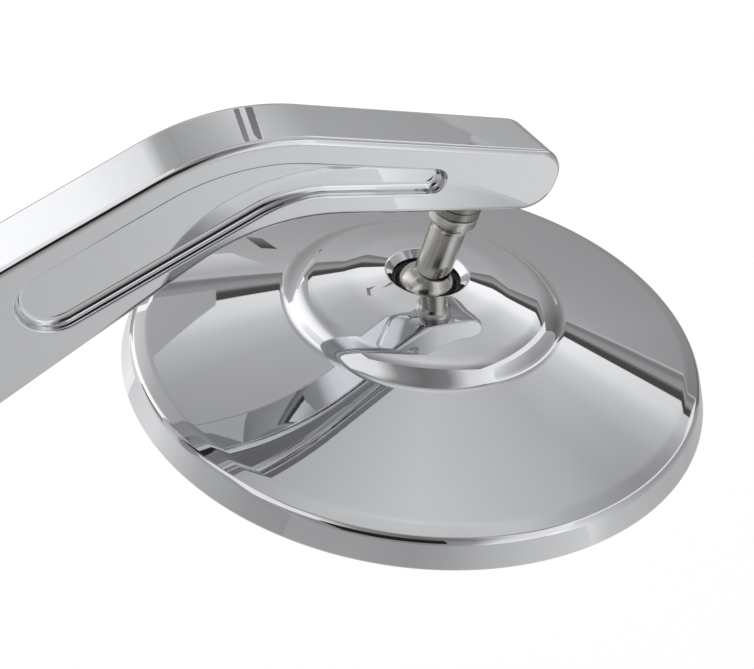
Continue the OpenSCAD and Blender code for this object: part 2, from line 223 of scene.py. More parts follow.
@dataclass(frozen=True)
class TurnedSteel(Finish):
    """Stainless or plated steel off a lathe: fine rings whose glints run along the axis."""

    name: str
    tint: str = "#E2DFD9"
    dark: str = "#ABA8A3"
    roughness: float = 0.15
    # The real feed is near 0.08 mm; it is drawn coarser so that it shows at this distance
    feed_mm: float = 0.22
    lay: Lay = Lay.BALL_STUD
    ring_depth_mm: float = 0.006
    mottle_mm: float = 2.5

    def fill(self, tree: Tree, shader: Node, place: Socket) -> None:
        """Turned steel: rings of uneven depth, with a thin mottle where the bar was handled."""
        along = add_node(tree, "ShaderNodeSeparateXYZ", links={"Vector": place}).outputs[self.lay.value]
        rings = add_node(tree, "ShaderNodeTexNoise", {"noise_dimensions": "1D"}, {
            "W": along, "Scale": per_metre(self.feed_mm), "Detail": 2.0, "Roughness": 0.7}).outputs["Fac"]
        mottle = noise(tree, place, self.mottle_mm, 4.0, 0.65)
        gloss = spread(tree, mottle, self.roughness * 0.75, self.roughness * 1.3, (0.3, 0.7))
        feed(tree, shader, {
            "Base Color": tones(tree, rings, self.dark, self.tint), "Metallic": 1.0, "Anisotropic": 0.5,
            "Roughness": gloss, "Normal": relief(tree, rings, self.ring_depth_mm, 0.35)})


@dataclass(frozen=True)
class PlatedSteel(Finish):
    """Small pressed or rolled steel part, zinc plated or phosphated: satin with a grainy coat."""

    name: str
    tint: str = "#B4B8BC"
    roughness: float = 0.38
    grain_mm: float = 0.35
    grain_depth_mm: float = 0.01
    cloud_mm: float = 3.0

    def fill(self, tree: Tree, shader: Node, place: Socket) -> None:
        """Plated steel: crystal grain in tone and gloss."""
        grain = add_node(tree, "ShaderNodeTexVoronoi", links={
            "Vector": place, "Scale": per_metre(self.grain_mm)}).outputs["Distance"]
        shade = spread(tree, noise(tree, place, self.cloud_mm, 3.0), 0.85, 1.08, (0.3, 0.7))
        tone = add_node(tree, "ShaderNodeHueSaturation", links={"Color": linear(self.tint), "Value": shade})
        gloss = spread(tree, grain, self.roughness * 0.8, self.roughness * 1.25)
        feed(tree, shader, {"Base Color": tone.outputs["Color"], "Metallic": 1.0, "Roughness": gloss,
                            "Normal": relief(tree, grain, self.grain_depth_mm, 0.2)})


@dataclass(frozen=True)
class Moulded(Finish):
    """Moulded nylon, rubber or foam: dark, with a fine eroded skin."""

    name: str
    tint: str = "#1C1D1F"
    worn: str = "#2C2D2F"
    roughness: float = 0.55
    grain_mm: float = 0.4
    depth_mm: float = 0.02
    rub_mm: float = 6.0

    def fill(self, tree: Tree, shader: Node, place: Socket) -> None:
        """Moulded plastic or rubber: grain from the tool, a little paler where it is rubbed."""
        grain = noise(tree, place, self.grain_mm, 4.0)
        rubbed = noise(tree, place, self.rub_mm, 3.0)
        feed(tree, shader, {
            "Base Color": tones(tree, rubbed, self.tint, self.worn),
            "Roughness": spread(tree, rubbed, self.roughness * 0.85, self.roughness * 1.15),
            "Normal": relief(tree, grain, self.depth_mm, 0.3)})


@dataclass(frozen=True)
class SilveredGlass(Finish):
    """Float glass silvered behind: a cool, exact mirror with a trace of wiping haze."""

    name: str
    tint: str = "#DCE3E4"
    roughness: float = 0.008
    haze_mm: float = 12.0

    def fill(self, tree: Tree, shader: Node, place: Socket) -> None:
        """Silvered glass: almost no texture, apart from faint wiped streaks in the gloss."""
        stretch = add_node(tree, "ShaderNodeMapping", links={"Vector": place, "Scale": (0.25, 1.0, 1.0)})
        haze = noise(tree, stretch.outputs["Vector"], self.haze_mm, 4.0)
        feed(tree, shader, {"Base Color": linear(self.tint), "Metallic": 1.0,
                            "Roughness": spread(tree, haze, self.roughness, self.roughness * 4, (0.4, 0.75))})


ARM_CHROME = MirrorChrome("arm_chrome", buffing_mm=2.5, wave_depth_mm=0.003)
HEAD_CHROME = MirrorChrome("head_chrome")
STUD_STEEL = TurnedSteel("turned_stainless")
MOUNT_STEEL = TurnedSteel("turned_mount_steel", tint="#BDBBB6", lay=Lay.UPRIGHT)
WASHER_STEEL = PlatedSteel("spring_washer_steel", tint="#A5A39E", roughness=0.27)
SCREW_STEEL = PlatedSteel("zinc_screw_steel")
SPRING_STEEL = PlatedSteel("phosphated_spring_steel", tint="#6E6F70", roughness=0.45)
CLAMP_STEEL = PlatedSteel("zinc_clamp_steel", tint="#AEB4B8")
LINER_NYLON = Moulded("moulded_nylon", roughness=0.45)
PLATE_PLASTIC = Moulded("moulded_backing_plastic", tint="#202123", grain_mm=0.7)
PAD_FOAM = Moulded("bonding_foam", tint="#141414", worn="#1E1E1E", roughness=0.9, grain_mm=0.3, depth_mm=0.1)
SEAL_RUBBER = Moulded("seal_rubber", tint="#0E0E0F", worn="#1B1B1C", roughness=0.5, grain_mm=0.5)
MIRROR_GLASS = SilveredGlass("silvered_glass")


@dataclass(frozen=True)
class Side:
    """A straight side of an outline: its direction in degrees and its distance, inside on the left."""

    angle: float
    offset: float

    def left(self) -> Vector:
        """Unit vector that points inside."""
        return left_of(self.angle)

    def turned(self, by: float) -> "Side":
        """The same side with its direction counted on by whole turns."""
        return Side(self.angle + by, self.offset)


def left_of(angle: float) -> Vector:
    """Unit vector to the left of a direction in degrees."""
    return Vector((-math.sin(math.radians(angle)), math.cos(math.radians(angle))))


def meet(m: Vector, c: float, n: Vector, d: float) -> Vector:
    """Crossing of the lines m.p = c and n.p = d."""
    cross = m.x * n.y - m.y * n.x
    return (Vector((n.y, -n.x)) * c - Vector((m.y, -m.x)) * d) / cross


def corner_arc(start: Side, stop: Side, radius: float, inset: float, steps: int) -> list[Vector]:
    """Round the corner between two sides.

    Args:
        start: the side that runs in.
        stop: the side that runs out.
        radius: radius of the corner at no inset.
        inset: distance by which the whole outline is set in.
        steps: number of chords.

    Returns:
        The points of the arc, in order.
    """
    turn = stop.angle - start.angle
    side = math.copysign(1.0, turn)
    centre = meet(start.left(), start.offset + side * radius, stop.left(), stop.offset + side * radius)
    reach = side * (radius - side * inset)
    return [centre - left_of(start.angle + turn * i / steps) * reach for i in range(steps + 1)]


def rounded(corners: Sequence[Place], steps: int = 10) -> list[Point]:
    """Round the corners of a closed outline.

    Args:
        corners: x, y and radius of each corner.
        steps: chords in each arc.

    Returns:
        The outline's points.
    """
    points: list[Point] = []
    count = len(corners)
    for i, (x, y, radius) in enumerate(corners):
        if radius == 0:
            points.append((x, y))
            continue
        p = Vector((x, y))
        back = (Vector(corners[i - 1][:2]) - p).normalized()
        ahead = (Vector(corners[(i + 1) % count][:2]) - p).normalized()
        half = math.acos(max(-1.0, min(1.0, back.dot(ahead)))) / 2
        centre = p + (back + ahead).normalized() * radius / math.sin(half)
        start = p + back * radius / math.tan(half) - centre
        stop = p + ahead * radius / math.tan(half) - centre
        swing = math.atan2(start.x * stop.y - start.y * stop.x, start.dot(stop))
        for k in range(steps + 1):
            turn = Matrix.Rotation(swing * k / steps, 2)
            points.append(tuple(centre + turn @ start))
    return points


def quarter(steps: int, radius: float) -> list[Point]:
    """Steps of a quarter circle as pairs of inset and depth, from the face round to the wall."""
    angles = [math.pi / 2 * i / steps for i in range(steps + 1)]
    return [(radius * math.sin(a), radius * (1 - math.cos(a))) for a in angles]


def add_object(name: str, data: bpy.types.ID) -> Object:
    """Make an object of a data block and link it to the scene."""
    thing = bpy.data.objects.new(name, data)
    bpy.context.scene.collection.objects.link(thing)
    return thing


def add_ring(mesh: Mesh, points: Iterable[Vector]) -> Ring:
    """Add one loop of vertices."""
    return [mesh.verts.new(p) for p in points]


def polar(radius: float, angle: float, height: float) -> Vector:
    """Point at a radius, an angle in radians and a height."""
    return Vector((radius * math.cos(angle), radius * math.sin(angle), height))


def skin(mesh: Mesh, rings: Sequence[Ring], closed: bool = False) -> None:
    """Join loops of equal length by quads; a loop of one point makes a fan.

    Args:
        mesh: the mesh that takes the faces.
        rings: the loops, in order.
        closed: whether the last loop runs back to the first.
    """
    pairs = list(zip(rings, rings[1:]))
    if closed:
        pairs.append((rings[-1], rings[0]))
    for low, high in pairs:
        count = max(len(low), len(high))
        for i in range(count if count > 1 else 0):
            j = (i + 1) % count
            corners = (low[i % len(low)], low[j % len(low)], high[j % len(high)], high[i % len(high)])
            mesh.faces.new(list(dict.fromkeys(corners)))


def rod(mesh: Mesh, rings: Sequence[Ring]) -> None:
    """Join loops of equal length by quads and close both ends with a face."""
    skin(mesh, rings)
    mesh.faces.new(rings[0])
    mesh.faces.new(rings[-1])


def wind(mesh: Mesh, heights: Iterable[float], segments: int,
         radius_at: Callable[[float, float], float], start_deg: float = 0.0) -> list[Ring]:
    """Stack loops round the upright axis.

    Args:
        mesh: the mesh that takes the loops.
        heights: height of each loop.
        segments: steps round the axis.
        radius_at: radius for a part of a turn and a height.
        start_deg: where the turn starts.

    Returns:
        The loops, not joined yet.
    """
    turns = [i / segments for i in range(segments)]
    start = math.radians(start_deg)
    return [add_ring(mesh, [polar(radius_at(t, h), 2 * math.pi * t + start, h) for t in turns])
            for h in heights]


def cap(mesh: Mesh, *loops: Ring) -> None:
    """Fill a flat face bounded by a loop, less any inner loops."""
    edges = []
    for loop in loops:
        for i in range(len(loop)):
            pair = (loop[i], loop[(i + 1) % len(loop)])
            edges.append(mesh.edges.get(pair) or mesh.edges.new(pair))
    bmesh.ops.triangle_fill(mesh, use_beauty=True, use_dissolve=False, edges=edges)


def to_object(mesh: Mesh, name: str, finish: Finish, place: Matrix | None = None,
              sharp_deg: float = 30.0) -> Object:
    """Close a mesh in millimetres and make it an object in metres.

    Args:
        mesh: the mesh, freed here.
        name: the piece's name.
        finish: its finish.
        place: where its own axes stand in the row frame, in millimetres.
        sharp_deg: edges that turn more than this stay crisp.

    Returns:
        The object, linked to the scene.
    """
    bmesh.ops.remove_doubles(mesh, verts=mesh.verts, dist=SAME_POINT)
    bmesh.ops.recalc_face_normals(mesh, faces=mesh.faces)
    mesh.transform(Matrix.Scale(MM, 4) @ (place or Matrix.Identity(4)))
    data = bpy.data.meshes.new(name)
    mesh.to_mesh(data)
    mesh.free()
    data.shade_smooth()
    data.set_sharp_from_angle(angle=math.radians(sharp_deg))
    data.materials.append(finish.make())
    piece = add_object(name, data)
    even = piece.modifiers.new("even_shading", "WEIGHTED_NORMAL")
    even.mode = "FACE_AREA"
    even.weight = 100
    even.keep_sharp = True
    return piece


def turn_profile(mesh: Mesh, profile: Sequence[Point], segments: int, closed: bool = True) -> None:
    """Revolve an outline about its upright axis.

    Args:
        mesh: the mesh that takes the surface.
        profile: radius and height of each point; a point on the axis becomes one vertex.
        segments: steps round the axis.
        closed: whether the last point runs back to the first.
    """
    rings = []
    turns = [2 * math.pi * i / segments for i in range(segments)]
    for radius, height in profile:
        around = turns if radius > ON_AXIS else turns[:1]
        rings.append(add_ring(mesh, [polar(radius, t, height) for t in around]))
    skin(mesh, rings, closed)


@dataclass
class Datum:
    """Where the frame puts the ball and the head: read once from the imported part."""

    joints: dict[str, dict] = field(default_factory=lambda: {j["name"]: j for j in frame["joints"]})

    def ball(self) -> Vector:
        """Centre of the ball, in millimetres."""
        return Vector(self.joints["head_spin"]["pos_m"]) / MM

    def on_stud(self) -> Matrix:
        """Axes whose upright runs along the ball stud, from the ball centre."""
        return Matrix.Translation(self.ball()) @ Matrix.Rotation(-math.pi / 2, 4, "X")

    def on_head(self, ball_h: float) -> Matrix:
        """Axes of the head: upright is its back, zero is the front of its rim."""
        back = Vector(self.joints["head_spin"]["axis"]).normalized()
        across = Vector(self.joints["head_tilt"]["axis"]).normalized()
        ahead = back.cross(across).normalized()
        turn = Matrix((across, ahead, back)).transposed().to_4x4()
        return Matrix.Translation(self.ball()) @ turn @ Matrix.Translation((0, 0, -ball_h))


@dataclass
class ArmBar:
    """The cranked arm, cut from flat bar, with a milled pocket in its upper face."""

    reach_x: float = 85.8
    reach_y: float = 9.0
    thickness: float = 10.6
    underside: float = 7.6
    neck_len: float = 21.5
    tip_over: float = 14.3
    tip_slant: float = 2.6
    tip_w: float = 11.5
    bend_w: float = 14.9
    bend_in_x: float = 49.1
    bend_out_x: float = 41.2
    bend_in_r: float = 31.0
    bend_out_r: float = 36.0
    base_r: float = 11.85
    tip_in_r: float = 5.4
    tip_out_r: float = 5.2
    edge_r: float = 1.2
    pocket_depth: float = 1.8
    land_out: float = 3.9
    land_in: float = 3.6
    pocket_w: float = 12.1
    pocket_start: float = 18.9
    pocket_stop: float = 7.3
    pocket_bend_r: float = 18.0
    rim_r: float = 0.4
    floor_r: float = 1.2
    # Straight run left between two corners of the pocket's ends
    corner_room: float = 0.05
    bend_steps: int = 48
    corner_steps: int = 20
    base_steps: int = 72
    edge_steps: int = 8
    rim_steps: int = 5

    def sides(self) -> dict[str, Side]:
        """Straight sides of the arm, anticlockwise from the one that leaves the handlebar stud."""
        head_y = self.reach_y + self.neck_len
        bend_in = Vector((self.bend_in_x, head_y))
        bend_out = Vector((self.bend_out_x, head_y + self.bend_w))
        tip = Vector((self.reach_x + self.tip_over, head_y + self.tip_w))
        rise_in = math.degrees(math.atan2(bend_in.y, bend_in.x) + math.asin(self.base_r / bend_in.length))
        rise_out = math.degrees(math.atan2(bend_out.y, bend_out.x) - math.asin(self.base_r / bend_out.length))
        top_angle = math.degrees(math.atan2(bend_out.y - tip.y, bend_out.x - tip.x))
        return {
            "inner": Side(rise_in, -self.base_r),
            "head": Side(0.0, head_y),
            "tip": Side(90.0, -tip.x),
            "top": Side(top_angle, left_of(top_angle).dot(bend_out)),
            "outer": Side(180.0 + rise_out, -self.base_r),
        }

    def outline(self, inset: float, height: float) -> list[Vector]:
        """Outline of the arm at a height, set in by a distance; the tip falls back towards the underside."""
        s = self.sides()
        s["tip"] = Side(90.0, s["tip"].offset + self.tip_slant * (1 - height / self.thickness))
        return (
            corner_arc(s["inner"], s["head"], self.bend_in_r, inset, self.bend_steps)
            + corner_arc(s["head"], s["tip"], self.tip_in_r, inset, self.corner_steps)
            + corner_arc(s["tip"], s["top"], self.tip_out_r, inset, self.corner_steps)
            + corner_arc(s["top"], s["outer"], self.bend_out_r, inset, self.bend_steps)
            + corner_arc(s["outer"], s["inner"].turned(360), self.base_r, inset, self.base_steps)
        )

    def pocket_outline(self, inset: float) -> list[Vector]:
        """Outline of the pocket, set in by a distance."""
        s = self.sides()
        head = Side(0.0, s["head"].offset + self.land_in)
        tip = Side(90.0, -(self.reach_x - self.pocket_stop))
        top = Side(s["top"].angle, s["top"].offset + self.land_out)
        outer = Side(s["outer"].angle, s["outer"].offset + self.land_out)
        base = Side(s["outer"].angle + 90.0, self.pocket_start)
        inner = Side(s["outer"].angle + 180.0, self.base_r - self.land_out - self.pocket_w)
        base_r = self.pocket_w / 2 - self.corner_room
        corner = Vector((-tip.offset, head.offset))
        tip_r = (top.left().dot(corner) - top.offset) / 2 - self.corner_room
        return (
            corner_arc(inner.turned(-360), head, self.pocket_bend_r, inset, self.bend_steps)
            + corner_arc(head, tip, tip_r, inset, self.corner_steps)
            + corner_arc(tip, top, tip_r, inset, self.corner_steps)
            + corner_arc(top, outer, self.bend_out_r - self.land_out, inset, self.bend_steps)
            + corner_arc(outer, base, base_r, inset, self.corner_steps)
            + corner_arc(base, inner, base_r, inset, self.corner_steps)
        )

    def ring(self, mesh: Mesh, outline: list[Vector], height: float) -> Ring:
        """One loop of the arm at a height above its underside."""
        return add_ring(mesh, [Vector((p.x, p.y, self.underside + height)) for p in outline])

    def build(self) -> Object:
        """Make the arm as one closed skin: edges rolled over, pocket walls run down to a flat floor.

        Returns:
            The arm, riding on its body and standing for its CAD node.
        """
        mesh = bmesh.new()
        stations = [(self.edge_r + FLAT_BAND, 0.0)]
        stations += [(self.edge_r - run, drop) for run, drop in quarter(self.edge_steps, self.edge_r)]
        top = [(inset, self.thickness - height) for inset, height in reversed(stations)]
        body = [self.ring(mesh, self.outline(inset, height), height) for inset, height in stations + top]
        skin(mesh, body)
        rim = [self.ring(mesh, self.pocket_outline(run), self.thickness - drop)
               for run, drop in [(-FLAT_BAND, 0.0)] + quarter(self.rim_steps, self.rim_r)]
        wall_foot = self.pocket_depth - self.floor_r
        bend = [(self.rim_r + drop, wall_foot + run) for run, drop in quarter(self.edge_steps, self.floor_r)]
        bend.append((bend[-1][0] + FLAT_BAND, self.pocket_depth))
        foot = [self.ring(mesh, self.pocket_outline(run), self.thickness - drop) for run, drop in bend]
        skin(mesh, rim + foot)
        cap(mesh, body[0])
        cap(mesh, body[-1], rim[0])
        cap(mesh, foot[-1])
        piece = to_object(mesh, "polished_arm", ARM_CHROME)
        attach(piece, Body.ARM.value)
        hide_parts("arm")
        return piece


@dataclass
class BallStud:
    """The turned stud: ball, relieved neck, shank, flare and collar, with a thread into the arm."""

    ball_r: float = 5.85
    neck_len: float = 21.5
    shank_r: float = 3.15
    collar_r: float = 4.2
    collar_t: float = 1.7
    flare_h: float = 1.8
    flare_w: float = 0.3
    thread_r: float = 2.95
    thread_len: float = 8.0
    thread_chamfer: float = 0.5
    washer_t: float = 3.1
    washer_bore: float = 3.1
    relief: float = 0.15
    relief_w: float = 0.3
    ball_steps: int = 48
    segments: int = 96

    def build(self) -> None:
        """Make the stud and its split washer."""
        datum = Datum()
        collar_top = self.neck_len - self.washer_t
        flare_top = collar_top - self.collar_t
        neck_r = self.shank_r - self.relief
        rise = math.sqrt(self.ball_r ** 2 - neck_r ** 2)
        start = math.asin(rise / self.ball_r)
        sweep = [start + (-math.pi / 2 - start) * i / self.ball_steps for i in range(self.ball_steps + 1)]
        ball = [(self.ball_r * math.cos(a), self.ball_r * math.sin(a)) for a in sweep]
        ball[-1] = (0.0, -self.ball_r)
        end = self.neck_len + self.thread_len
        shaft = rounded([
            (0.0, end, 0), (self.thread_r - self.thread_chamfer, end, 0),
            (self.thread_r, end - self.thread_chamfer, 0),
            (self.thread_r, collar_top, 0),
            (self.collar_r, collar_top, 0.25), (self.collar_r, flare_top, 0.2),
            (self.shank_r + self.flare_w, flare_top - 0.5 * self.flare_h, 1.2),
            (self.shank_r, flare_top - self.flare_h, 1.2),
            (self.shank_r, rise + self.relief_w + self.relief, 0.06), (neck_r, rise + self.relief_w, 0.05),
            (neck_r, rise, 0)], steps=6)
        mesh = bmesh.new()
        turn_profile(mesh, shaft + ball[1:], self.segments, closed=False)
        stud = to_object(mesh, "turned_ball_stud", STUD_STEEL, datum.on_stud())
        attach(stud, Body.ARM.value)
        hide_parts("ball_stud")
        washer = CoilWasher(self.washer_bore, self.collar_r, self.washer_t)
        washer.build("stud_split_washer", datum.on_stud() @ Matrix.Translation((0, 0, collar_top)),
                     "stud_lock_washer")


@dataclass
class CoilWasher:
    """Spring washer of two coils, screwed up solid: the joint between them runs round as a groove."""

    inner: float
    outer: float
    thickness: float
    coils: int = 2
    joint_half: float = 0.11
    joint_depth: float = 0.3
    edge: float = 0.14
    start_deg: float = 205.0
    steps: int = 240
    rows: int = 72

    def radius_at(self, turn: float, height: float) -> float:
        """Outer radius at a part of a turn and a height, less the joint and the broken edges."""
        pitch = self.thickness / self.coils
        off = (height - pitch * turn) % pitch
        joint = max(0.0, 1 - min(off, pitch - off) / self.joint_half)
        rim = max(0.0, 1 - min(height, self.thickness - height) / self.edge)
        broken = self.edge * (1 - math.sqrt(1 - rim * rim))
        return self.outer - self.joint_depth * math.sqrt(joint) - broken

    def build(self, name: str, place: Matrix, node: str) -> None:
        """Revolve the section, with the joint's helix cut into its outside.

        Args:
            name: the piece's name.
            place: its axes in the row frame, with its lower face at zero.
            node: the CAD node that it stands for.
        """
        mesh = bmesh.new()
        heights = [self.thickness * row / self.rows for row in range(self.rows + 1)]
        outside = wind(mesh, heights, self.steps, self.radius_at, self.start_deg)
        bore = wind(mesh, (self.thickness, 0.0), self.steps, lambda turn, height: self.inner, self.start_deg)
        skin(mesh, outside + bore, closed=True)
        piece = to_object(mesh, name, WASHER_STEEL, place, sharp_deg=50.0)
        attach(piece, Body.ARM.value)
        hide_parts(node)


@dataclass
class SplitWasher:
    """Spring washer of square wire: one turn of a flat helix with a slanted gap."""

    inner: float
    outer: float
    thickness: float
    gap_at_deg: float
    gap_deg: float = 9.0
    lift: float = 0.12
    steps: int = 90

    def build(self, name: str, place: Matrix, node: str) -> None:
        """Sweep the wire's section round.

        Args:
            name: the piece's name.
            place: its axes in the row frame, with its lower face at zero.
            node: the CAD node that it stands for.
        """
        mesh = bmesh.new()
        wire = self.thickness - self.lift
        section = rounded([(self.inner, 0, 0.08), (self.outer, 0, 0.15),
                           (self.outer, wire, 0.15), (self.inner, wire, 0.08)], steps=3)
        rings = []
        for i in range(self.steps + 1):
            share = i / self.steps
            base_deg = self.gap_at_deg + self.gap_deg / 2 + (360 - self.gap_deg) * share
            rings.append(add_ring(mesh, [
                polar(r, math.radians(base_deg + self.gap_deg / 2 * (h / wire - 0.5)), h + self.lift * share)
                for r, h in section]))
        rod(mesh, rings)
        piece = to_object(mesh, name, WASHER_STEEL, place)
        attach(piece, Body.ARM.value)
        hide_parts(node)


@dataclass
class HandlebarStud:
    """The stud that screws into the perch: coarse thread, hexagon and a thread into the arm."""

    mount_r: float = 5.0
    mount_len: float = 26.0
    pitch: float = 1.5
    hex_af: float = 14.0
    hex_h: float = 6.0
    hex_chamfer: float = 0.15
    hex_cone_deg: float = 60.0
    hex_levels: tuple[float, ...] = (0.0, 0.15, 0.35, 0.6, 0.9)
    arm_thread_r: float = 3.95
    arm_thread_len: float = 7.5
    arm_thread_root: float = 0.5
    arm_thread_chamfer: float = 0.6
    washer_t: float = 1.6
    washer_bore: float = 4.1
    washer_inset: float = 0.2
    washer_gap_at_deg: float = 160.0
    chamfer: float = 1.0
    # The thread's depth is a share of its pitch; its plain end lies under the hexagon
    thread_depth: float = 0.61
    thread_runout: float = 1.2
    flank_rise: float = 2.6
    crest_share: float = 0.2
    end_slope: float = 0.8
    rows_per_turn: int = 10
    segments: int = 72
    core_segments: int = 48

    def thread_radius(self, turn: float, h: float) -> float:
        """Radius of the helical thread, faded out at both ends; its flanks run between flats."""
        up = h + self.mount_len
        fade = min(1.0, up / self.chamfer, max(0.0, (-h - self.thread_runout) / self.pitch))
        phase = (h / self.pitch - turn) % 1.0
        flank = min(1.0, max(0.0, abs(phase - 0.5) * self.flank_rise - self.crest_share))
        crest = self.mount_r - max(0.0, self.chamfer - up) * self.end_slope
        return min(self.mount_r - self.thread_depth * self.pitch * flank * max(fade, 0.0), crest)

    def thread(self, mesh: Mesh) -> None:
        """Make the threaded lower shank."""
        rows = int(self.mount_len / self.pitch * self.rows_per_turn)
        heights = [self.mount_len * (row / rows - 1) for row in range(rows + 1)]
        rod(mesh, wind(mesh, heights, self.segments, self.thread_radius))

    def hex_radius(self, turn: float, h: float) -> float:
        """Radius of the hexagon, whose corners are turned off on a cone at both faces."""
        wedge = (2 * math.pi * turn) % (math.pi / 3) - math.pi / 6
        cone = min(h, self.hex_h - h) * math.tan(math.radians(self.hex_cone_deg)) - self.hex_chamfer
        return min(self.hex_af / 2 / math.cos(wedge), self.hex_af / 2 + cone)

    def hexagon(self, mesh: Mesh) -> None:
        """Make the hexagon, with its loops close together near both faces."""
        upper = [self.hex_h - h for h in reversed(self.hex_levels)]
        heights = [*self.hex_levels, self.hex_h / 2, *upper]
        rod(mesh, wind(mesh, heights, self.segments, self.hex_radius))

    def build(self) -> None:
        """Make the stud as one piece, and its split washer."""
        mesh = bmesh.new()
        self.thread(mesh)
        self.hexagon(mesh)
        foot = self.hex_h - self.arm_thread_root
        top = self.hex_h + self.washer_t + self.arm_thread_len
        tip = self.arm_thread_chamfer
        turn_profile(mesh, [(0.0, foot), (self.arm_thread_r, foot), (self.arm_thread_r, top - tip),
                            (self.arm_thread_r - tip, top), (0.0, top)], self.core_segments, closed=False)
        stud = to_object(mesh, "handlebar_stud", MOUNT_STEEL, sharp_deg=35.0)
        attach(stud, Body.ARM.value)
        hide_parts("mount_stud")
        washer = SplitWasher(self.washer_bore, self.hex_af / 2 - self.washer_inset, self.washer_t,
                             self.washer_gap_at_deg)
        washer.build("handlebar_split_washer", Matrix.Translation((0, 0, self.hex_h)), "mount_lock_washer")


@dataclass
class Head:
    """The round head: chromed casting, convex glass and its rubber seal."""

    radius: float = 52.65
    rim_h: float = 4.95
    rim_draft: float = 1.75
    rim_round: float = 1.7
    shoulder_w: float = 2.8
    shoulder_drop: float = 0.25
    shoulder_round: float = 12.0
    front_round: float = 0.3
    hub_foot_r: float = 24.6
    hub_foot_h: float = 12.2
    hub_top_r: float = 22.0
    hub_top_h: float = 14.7
    hub_round: float = 9.0
    foot_round: float = 3.5
    dome_r: float = 13.0
    dome_h: float = 17.15
    dome_round: float = 30.0
    lip_h: float = 18.1
    lip_r: float = 7.3
    lip_round: float = 0.45
    mouth_r: float = 6.05
    ball_h: float = 13.5
    wall: float = 2.0
    rim_wall: float = 2.6
    seat_r: float = 6.95
    seat_steps: int = 16
    boss_wall: float = 3.05
    # Rise of the hollow under the dome, and of the boss's root in it
    hollow_rise: float = 0.2
    boss_rise: float = 0.9
    glass_t: float = 2.0
    glass_curve_r: float = 1200.0
    glass_sink: float = 0.3
    seal_t: float = 1.0
    seal_lip: float = 1.7
    seal_front: float = 0.2
    seal_h: float = 2.8
    # Clearance of the seal in the rim, and of the glass in the seal
    seal_room: float = 0.1
    glass_room: float = 0.05
    glass_steps: int = 40
    boss_end: float = 5.6
    segments: int = 288

    def place(self) -> Matrix:
        """Axes of the head in the row frame."""
        return Datum().on_head(self.ball_h)

    def back_height(self, r: float) -> float:
        """Height of the straight slope from the rim to the hub's foot, at a radius."""
        slope = (self.hub_foot_h - self.rim_h) / (self.radius - self.rim_draft - self.hub_foot_r)
        return self.rim_h + (self.radius - self.rim_draft - r) * slope

    def under_back(self, r: float) -> float:
        """Height of the back's inner face at a radius."""
        return self.back_height(r) - self.wall

    def sag(self, r: float) -> float:
        """Drop of the glass's curve at a radius."""
        return r * r / (2 * self.glass_curve_r)

    def shell(self) -> Object:
        """The casting: rim, back, hub, bevelled opening and the spherical ball seat."""
        inside_r = self.radius - self.rim_wall
        boss_r = self.seat_r + self.boss_wall
        under_dome = self.hub_top_h - self.wall + self.hollow_rise
        edge_angle = math.acos(self.mouth_r / self.seat_r)
        seat = [(self.seat_r * math.cos(a), self.ball_h + self.seat_r * math.sin(a))
                for a in (edge_angle * (1 - i / self.seat_steps) for i in range(self.seat_steps + 1))]
        shoulder_r = self.radius - self.rim_draft - self.shoulder_w
        before = rounded([
            (inside_r, 0, 0.15), (self.radius, 0, self.front_round),
            (self.radius - self.rim_draft, self.rim_h - self.shoulder_drop, self.rim_round),
            (shoulder_r, self.back_height(shoulder_r), self.shoulder_round),
            (self.hub_foot_r, self.hub_foot_h, self.foot_round),
            (self.hub_top_r, self.hub_top_h, self.hub_round),
            (self.dome_r, self.dome_h, self.dome_round), (self.lip_r, self.lip_h, self.lip_round),
            (self.mouth_r, seat[0][1], 0),
            (self.seat_r, self.ball_h, 0), (self.seat_r, self.boss_end, 0.2), (boss_r, self.boss_end, 0.4),
            (boss_r, under_dome + self.boss_rise, 1), (self.hub_top_r - self.wall, under_dome, 1.5),
            (self.hub_foot_r - self.wall, self.under_back(self.hub_foot_r - self.wall), 1),
            (inside_r, self.under_back(inside_r), 0.5)], steps=12)
        mouth = before.index((self.mouth_r, seat[0][1]))
        profile = before[:mouth] + seat + before[mouth + 2:]
        mesh = bmesh.new()
        turn_profile(mesh, profile, self.segments)
        piece = to_object(mesh, "chromed_head_shell", HEAD_CHROME, self.place(), sharp_deg=35.0)
        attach(piece, Body.HEAD.value)
        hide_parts("head_shell")
        return piece

    def glass(self) -> Object:
        """The convex glass, with a ground edge."""
        glass_r = self.radius - self.rim_wall - self.seal_room - self.seal_t - self.glass_room
        radii = [glass_r * i / self.glass_steps for i in range(self.glass_steps + 1)]
        front = [(r, self.glass_sink + self.sag(r)) for r in radii]
        back = [(r, self.glass_sink + self.glass_t + self.sag(r)) for r in reversed(radii)]
        mesh = bmesh.new()
        turn_profile(mesh, front + back, self.segments, closed=False)
        piece = to_object(mesh, "convex_glass", MIRROR_GLASS, self.place())
        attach(piece, Body.HEAD.value)
        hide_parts("glass")
        return piece

    def seal(self) -> Object:
        """The rubber seal, with its lip over the glass."""
        outer = self.radius - self.rim_wall - self.seal_room
        inner = outer - self.seal_t
        lip = inner - self.glass_room - self.seal_lip
        step = self.glass_sink + self.sag(lip) - self.glass_room
        mesh = bmesh.new()
        turn_profile(mesh, rounded([
            (lip, self.seal_front, 0.35), (outer, self.seal_front, 0.3), (outer, self.seal_h, 0.2),
            (inner, self.seal_h, 0), (inner, step, 0), (lip, step, 0.15)], steps=6), self.segments)
        piece = to_object(mesh, "glass_seal", SEAL_RUBBER, self.place())
        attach(piece, Body.HEAD.value)
        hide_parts("rim_seal")
        return piece

    def build(self) -> None:
        """Make the head's visible pieces."""
        for make in (self.shell, self.glass, self.seal):
            LOG.info("built %s", make().name)


